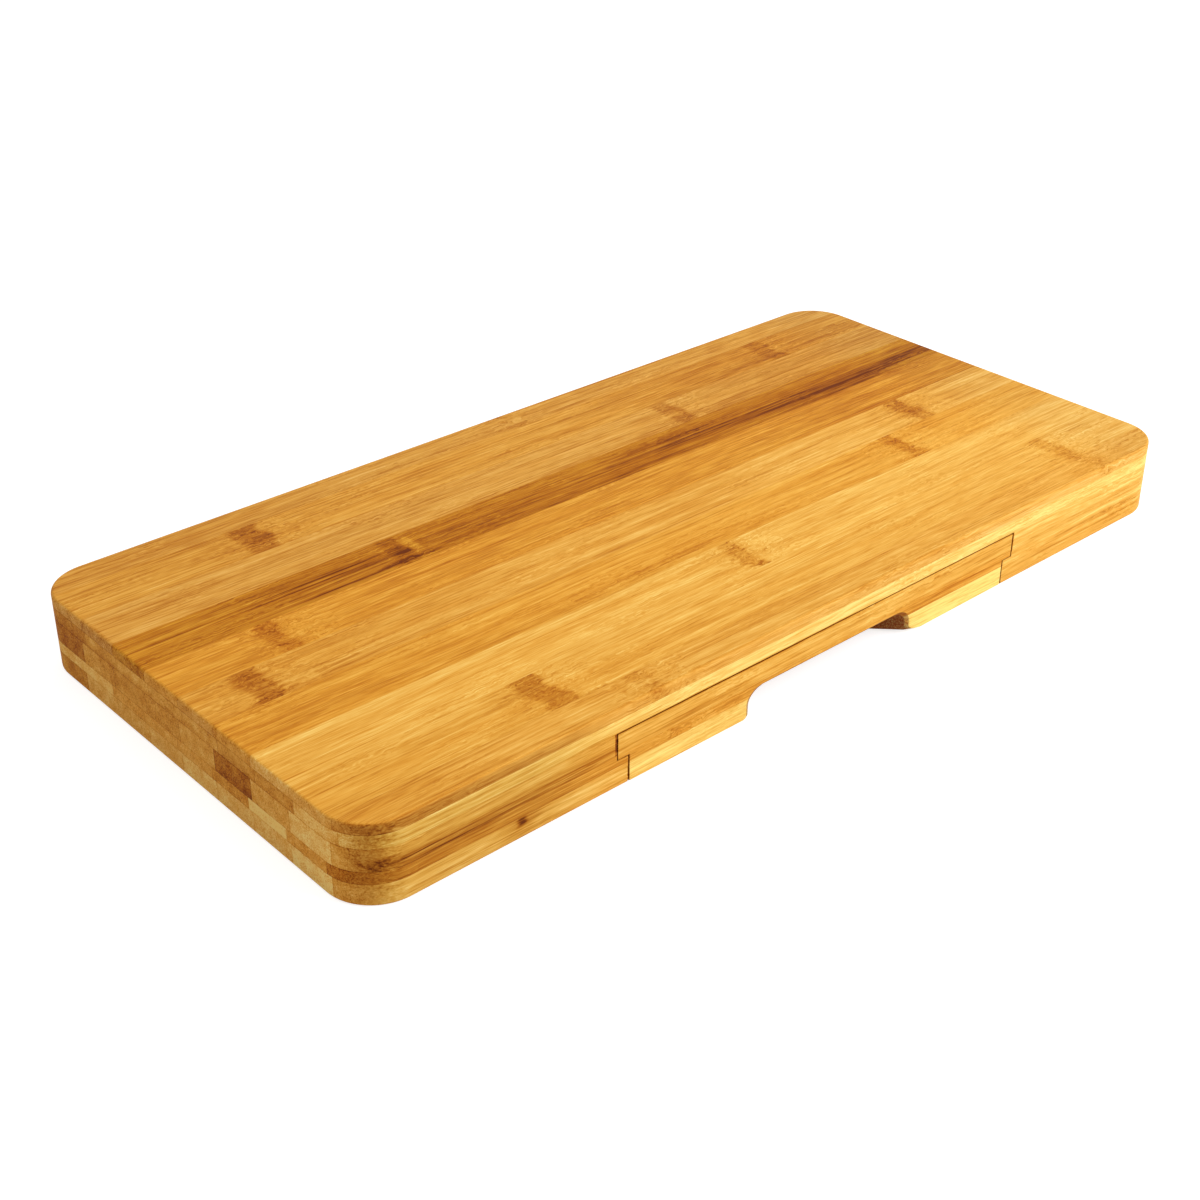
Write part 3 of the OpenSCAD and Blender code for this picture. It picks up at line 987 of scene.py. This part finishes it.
LOOKS = {
    "cutting_stave_01": dict(
        tone=0.69,
        tint=WHEAT,
        knuckles=[(-83, 2.6, 1.0), (158, 2.6, 0.8)],
        veins=[
            front_vein_and_shadow(-260, -115, 27.5, 2.2, 0.43, 35),
            front_vein_and_shadow(-120, -55, 27.0, 2.0, 0.10, 20),
            stretch(-260, -160, 0.13),
            stretch(165, 260, 0.05),
        ],
    ),
    "cutting_stave_02": dict(
        tone=0.76,
        tint=(1.0, 1.0, 1.06),
        knuckles=[(-112, 4.8, 1.0), (156, 3.5, 0.8)],
        veins=[stretch(-260, -85, 0.08), top_vein(-127, -104, -73.0, 8.0, 0.06, 5.0)],
    ),
    "cutting_stave_03": dict(
        tone=0.80,
        tint=(1.0, 1.0, 1.06),
        knuckles=[(0, 2.9, 1.5)],
        veins=[top_vein(-5, 7, -53.0, 9.0, 0.05, 4.0), left_vein(-53.0, 27.5, 18.0, 3.0, 0.05)],
    ),
    "cutting_stave_04": dict(
        tone=0.69,
        tint=AMBER,
        knuckles=[(112, 3.2, 1.4)],
        veins=[
            top_vein(-260, -40, -23.2, 0.6, 0.14),
            top_vein(-260, 90, -40.0, 2.0, 0.08),
            stretch(-260, -110, 0.10),
            stretch(30, 120, -0.04),
        ],
    ),
    "cutting_stave_05": dict(
        tone=0.69,
        tint=WHEAT,
        knuckles=[(-177, 4.6, 1.05), (141, 3.6, 1.1)],
        veins=[
            stretch(-260, -80, 0.07),
            stretch(-260, -150, 0.04, 20),
            stretch(45, 125, -0.12),
            top_vein(133, 149, -10.0, 8.0, 0.07, 4.0),
        ],
    ),
    "cutting_stave_06": dict(
        tone=0.59,
        tint=AMBER,
        knuckles=[(-156, 3.2, 1.1)],
        veins=[stretch(-260, -90, -0.04), stretch(110, 260, 0.10)],
    ),
    "cutting_stave_07": dict(
        tone=0.46,
        tint=UMBER,
        knuckles=[(-92, 3.2, 0.7)],
        veins=[
            top_vein(-170, 260, 29.5, 7.5, 0.10, 60.0),
            top_vein(-190, -98, 32.8, 0.45, 0.34, 10.0),
            top_vein(-150, -96, 34.6, 2.4, 0.13, 14.0),
            top_vein(-145, -96, 30.6, 0.35, 0.20, 10.0),
            top_vein(-140, -92, 28.9, 0.40, 0.17, 10.0),
            top_vein(-138, -75, 22.9, 0.55, 0.34, 8.0),
            top_vein(-102, -84, 24.2, 1.0, 0.22, 4.0),
            top_vein(-92, -86, 28.9, 1.1, 0.50, 1.6),
            top_vein(-87, -82.5, 33.0, 9.0, -0.22, 1.0),
            top_vein(-78, -40, 25.5, 3.5, 0.10, 12.0),
            top_vein(10, 260, 28.0, 6.5, 0.20, 35.0),
            top_vein(118, 190, 27.4, 3.2, 0.10, 18.0),
            top_vein(110, 205, 25.0, 0.6, 0.14),
            top_vein(118, 205, 21.3, 0.7, 0.20, 14.0),
            left_vein(27.0, 26.5, 5.0, 2.5, 0.12),
            stretch(-260, -165, -0.04, 15),
            stretch(165, 260, -0.06, 15),
        ],
    ),
    "cutting_stave_08": dict(
        tone=0.56,
        tint=STRAW,
        knuckles=[(66, 4.0, 0.75)],
        veins=[
            stretch(-100, -30, -0.05),
            stretch(-260, 50, -0.06),
            stretch(90, 260, 0.04),
            stretch(-206, -198.6, 0.12, 0.6),
        ],
    ),
    "cutting_stave_09": dict(
        tone=0.56,
        tint=(0.99, 1.02, 1.25),
        knuckles=[(-125, 4.8, 0.95), (142, 4.2, 0.6)],
        veins=[stretch(-260, -150, -0.06), stretch(-95, 40, -0.09), stretch(85, 200, 0.08)],
    ),
    "cutting_stave_10": dict(
        tone=0.56,
        tint=STRAW,
        knuckles=[(7, 2.0, 0.7)],
        veins=[stretch(160, 260, -0.09)],
    ),
    "core_strip_01": dict(
        tone=0.93,
        tint=front_tint(1.0),
        knuckles=[(38, 2.4, 0.7)],
        veins=[
            front_vein_and_shadow(-260, -110, 23.5, 3.5, 0.36, 30),
            front_vein_and_shadow(-200, 200, 21.0, 0.5, 0.06, 30),
            front_vein_and_shadow(25, 100, 23.5, 3.0, 0.07, 20),
            stretch(30, 260, 0.04),
            # Painted shadow: a dark line in the seam above the drawer's left half.
            front_vein_and_shadow(-104, 0, 20.9, 0.5, 0.60, 25),
        ],
        burn=1.0,
    ),
    "upper_left_block": dict(
        tone=[0.68, 0.87, 0.68, 0.34, 0.69, 0.57, 0.58, 0.60],
        veins=[
            front_vein_and_shadow(-260, -90, 14.9, 2.0, 0.44, 30),
            front_vein_and_shadow(-260, -160, 15.0, 3.0, 0.10, 12),
            front_vein_and_shadow(-215, -120, 16.7, 1.0, 0.05, 25),
            front_vein_and_shadow(-215, -105, 13.0, 0.6, 0.22, 25),
            # Painted shadow: a dark line in the seam at the drawer's left end.
            front_vein_and_shadow(-101.7, -100.0, 17.0, 5.5, 0.75, 0.2),
            left_vein(-30.0, 13.0, 11.0, 2.5, 0.16),
            left_vein(0.0, 21.4, WHOLE, 0.9, 0.10),
        ],
        burn=1.0,
    ),
    "middle_left_block": dict(
        tone=[0.42, 0.62, 1.0, 0.52, 0.66, 0.65, 0.63, 0.82],
        tint=AMBER,
        veins=[stretch(-120, -90, -0.15, 8.0), stretch(-210, -190, -0.05, 3.0)],
        burn=1.0,
    ),
    "lower_left_block": dict(
        tone=[0.65, 0.94, 0.83, 0.83, 0.84, 0.76, 0.72, 0.75],
        veins=[
            front_vein_and_shadow(-141.7, -138.6, 6.8, 1.5, 0.62, 1.2),
            front_vein_and_shadow(-150, -126, 5.5, 3.5, 0.16, 8.0),
            front_vein_and_shadow(-142, -134, 6.0, 2.4, 0.18, 3.0),
            front_vein_and_shadow(-200, -150, 6.8, 0.5, 0.16, 20),
            # Painted shadow: a dark line in the seam beside the drawer's left foot.
            front_vein_and_shadow(-96.4, -95.0, 4.0, 9.0, 0.50, 0.15),
        ],
        burn=1.0,
    ),
    "upper_right_block": dict(
        tone=[0.78, 0.57, 0.70, 0.60, 0.44, 0.66, 0.53, 0.74],
        # The second vein is painted shadow: a dark line in the seam at the drawer's right end.
        veins=[front_vein_and_shadow(110, 190, 14.2, 0.7, 0.20, 20), front_vein_and_shadow(99.0, 101.3, 17.0, 5.5, 0.50, 0.2)],
        burn=1.0,
    ),
    "middle_right_block": dict(
        tone=[0.76, 0.54, 0.60, 0.80, 0.50, 0.72, 0.58, 0.48],
        veins=[
            front_vein_and_shadow(148, 192, 11.0, 1.1, -0.16, 12),
            front_vein_and_shadow(110, 175, 9.4, 0.6, 0.14, 16),
            stretch(115, 150, -0.04, 8),
            stretch(155, 182, 0.06, 8),
        ],
        burn=1.0,
    ),
    "lower_right_block": dict(
        tone=[0.70, 0.60, 0.78, 0.52, 0.66, 0.58, 0.72, 0.62],
        veins=[
            front_vein_and_shadow(140, 200, 6.9, 0.7, -0.14, 16),
            front_vein_and_shadow(120, 195, 5.6, 0.5, 0.14, 16),
            stretch(80, 116, -0.04, 8),
            stretch(152, 182, 0.05, 8),
        ],
        burn=1.0,
    ),
    "upper_back_rail": dict(tone=[0.34, 0.50]),
    "middle_back_rail": dict(tone=[0.80, 0.66]),
    "lower_back_rail": dict(tone=[0.50, 0.62]),
    "drawer_upper_strip_01": dict(
        tone=0.72,
        veins=[
            front_vein_and_shadow(-112, -40, 14.9, 1.3, 0.26, 14),
            # The next three veins are painted shadow: dark lines in the seams at the drawer's two ends and
            # above its left half.
            front_vein_and_shadow(-102.0, -100.5, 17.0, 5.5, 0.75, 0.2),
            front_vein_and_shadow(100.4, 102.0, 17.0, 5.5, 0.60, 0.2),
            front_vein_and_shadow(-104, 0, 20.6, 0.4, 0.60, 25),
            front_vein_and_shadow(-62, -8, 15.8, 0.3, 0.24, 12),
            front_vein_and_shadow(40, 112, 13.4, 0.6, 0.12, 14),
            stretch(-110, -64, 0.04, 8),
            stretch(-58, -32, -0.05, 8),
        ],
        burn=1.0,
    ),
    "drawer_middle_strip_01": dict(
        tone=0.63,
        tint=AMBER,
        knuckles=[(-76, 2.2, 0.9)],
        veins=[
            front_vein_and_shadow(42, 112, 10.7, 0.9, 0.28, 14),
            front_vein_and_shadow(-60, -42, 11.0, 1.6, 0.14, 12),
            stretch(40, 58, 0.06, 8),
        ],
        burn=1.0,
    ),
    "drawer_floor_strip_01": dict(
        tone=0.92,
        tint=front_tint(1.5),
        veins=[
            front_vein_and_shadow(-112, -40, 7.2, 1.2, 0.12, 14),
            # Painted shadow: a dark line in the seam at the drawer's left foot.
            front_vein_and_shadow(-97.0, -95.4, 4.0, 9.0, 0.55, 0.15),
            stretch(42, 112, -0.12, 6.0),
        ],
        burn=1.0,
    ),
}
CORE_TONES = [0.93, 0.85, 0.58, 0.59, 0.66, 0.64, 0.68, 0.60, 0.47, 0.43]
DRAWER_TONES = [0.66, 0.58, 0.74, 0.62, 0.70, 0.55, 0.78, 0.64, 0.68]


def looks_of(node, number):
    """The looks of a piece by its name, or for the plainer ones by its number in the ply."""
    if node in LOOKS:
        return LOOKS[node]
    if node.startswith("core"):
        return dict(tone=CORE_TONES[number], veins=[left_vein(0.0, 21.3, WHOLE, 1.1, 0.12)])
    step = {"floor": 0, "middle": 4, "upper": 7}[node.split("_")[1]]
    return dict(tone=DRAWER_TONES[(number + step) % len(DRAWER_TONES)])


for index, node in enumerate(strips):
    looks = looks_of(node, int(node[-2:]) - 1 if node[-2:].isdigit() else 0)
    material = bamboo_material(node, index * SEED_STEP + FIRST_SEED, **looks)
    strips[node].data.materials.clear()
    strips[node].data.materials.append(material)
print(len(strips), "finishes")

# %% [markdown]
# ## The stage and the light
#
# The photograph is a studio shot on pure white. A large soft lamp stands to the front and right, so
# the front face is the brightest and the left end lies in shade. A second soft lamp hangs above.
# The floor shows as white to the camera, and keeps a faint shadow.

# %% Stage and lights
FLOOR_SIZE = 12.0
FLOOR_GLOW = 0.76
FILL = 0.5


def seen_rays(recipe):
    """1 for the rays that show a thing to the camera, straight, mirrored or through glass."""
    rays = recipe.parts("LightPath", {})
    seen = recipe.math("MAXIMUM", rays["Is Camera Ray"], rays["Is Glossy Ray"])
    return recipe.math("MAXIMUM", seen, rays["Is Transmission Ray"])


def add_floor():
    """A pale floor. What shows it also sees it glow, so it is white but keeps a faint shadow."""
    bpy.ops.mesh.primitive_plane_add(size=FLOOR_SIZE)
    floor = bpy.context.active_object
    floor.name = "floor"
    material = bpy.data.materials.new("floor")
    material.use_nodes = True
    tree = material.node_tree
    tree.nodes.clear()
    recipe = Recipe(tree)
    lit = recipe.node("BsdfDiffuse", {"Color": (0.8, 0.8, 0.8, 1)})
    dim = recipe.node("BsdfDiffuse", {"Color": (0.5, 0.5, 0.5, 1)})
    glow = recipe.node("Emission", {"Color": (1, 1, 1, 1), "Strength": FLOOR_GLOW})
    white = recipe.node("AddShader", {0: dim, 1: glow})
    shader = recipe.node("MixShader", {0: seen_rays(recipe), 1: lit, 2: white})
    output = tree.nodes.new("ShaderNodeOutputMaterial")
    tree.links.new(shader, output.inputs["Surface"])
    floor.data.materials.append(material)
    return floor


def add_world(fill):
    world = bpy.data.worlds.new("studio")
    bpy.context.scene.world = world
    world.use_nodes = True
    recipe = Recipe(world.node_tree)
    strength = recipe.math("MULTIPLY_ADD", seen_rays(recipe), 1.0 - fill, fill)
    background = world.node_tree.nodes["Background"]
    background.inputs["Color"].default_value = (1, 1, 1, 1)
    world.node_tree.links.new(strength, background.inputs["Strength"])


def add_lamp(name, place, size, power):
    """A square soft lamp that faces the board."""
    data = bpy.data.lights.new(name, "AREA")
    data.size = size
    data.energy = power
    lamp = bpy.data.objects.new(name, data)
    bpy.context.collection.objects.link(lamp)
    lamp.location = place
    lamp.rotation_euler = Vector(place).to_track_quat("Z", "Y").to_euler()
    return lamp


add_floor()
add_world(FILL)
add_lamp("key", place=(0.75, -1.05, 0.85), size=0.9, power=16)
add_lamp("overhead", place=(0.0, 0.2, 1.5), size=1.4, power=6)
bpy.context.scene.view_settings.view_transform = "Standard"
print("stage set")
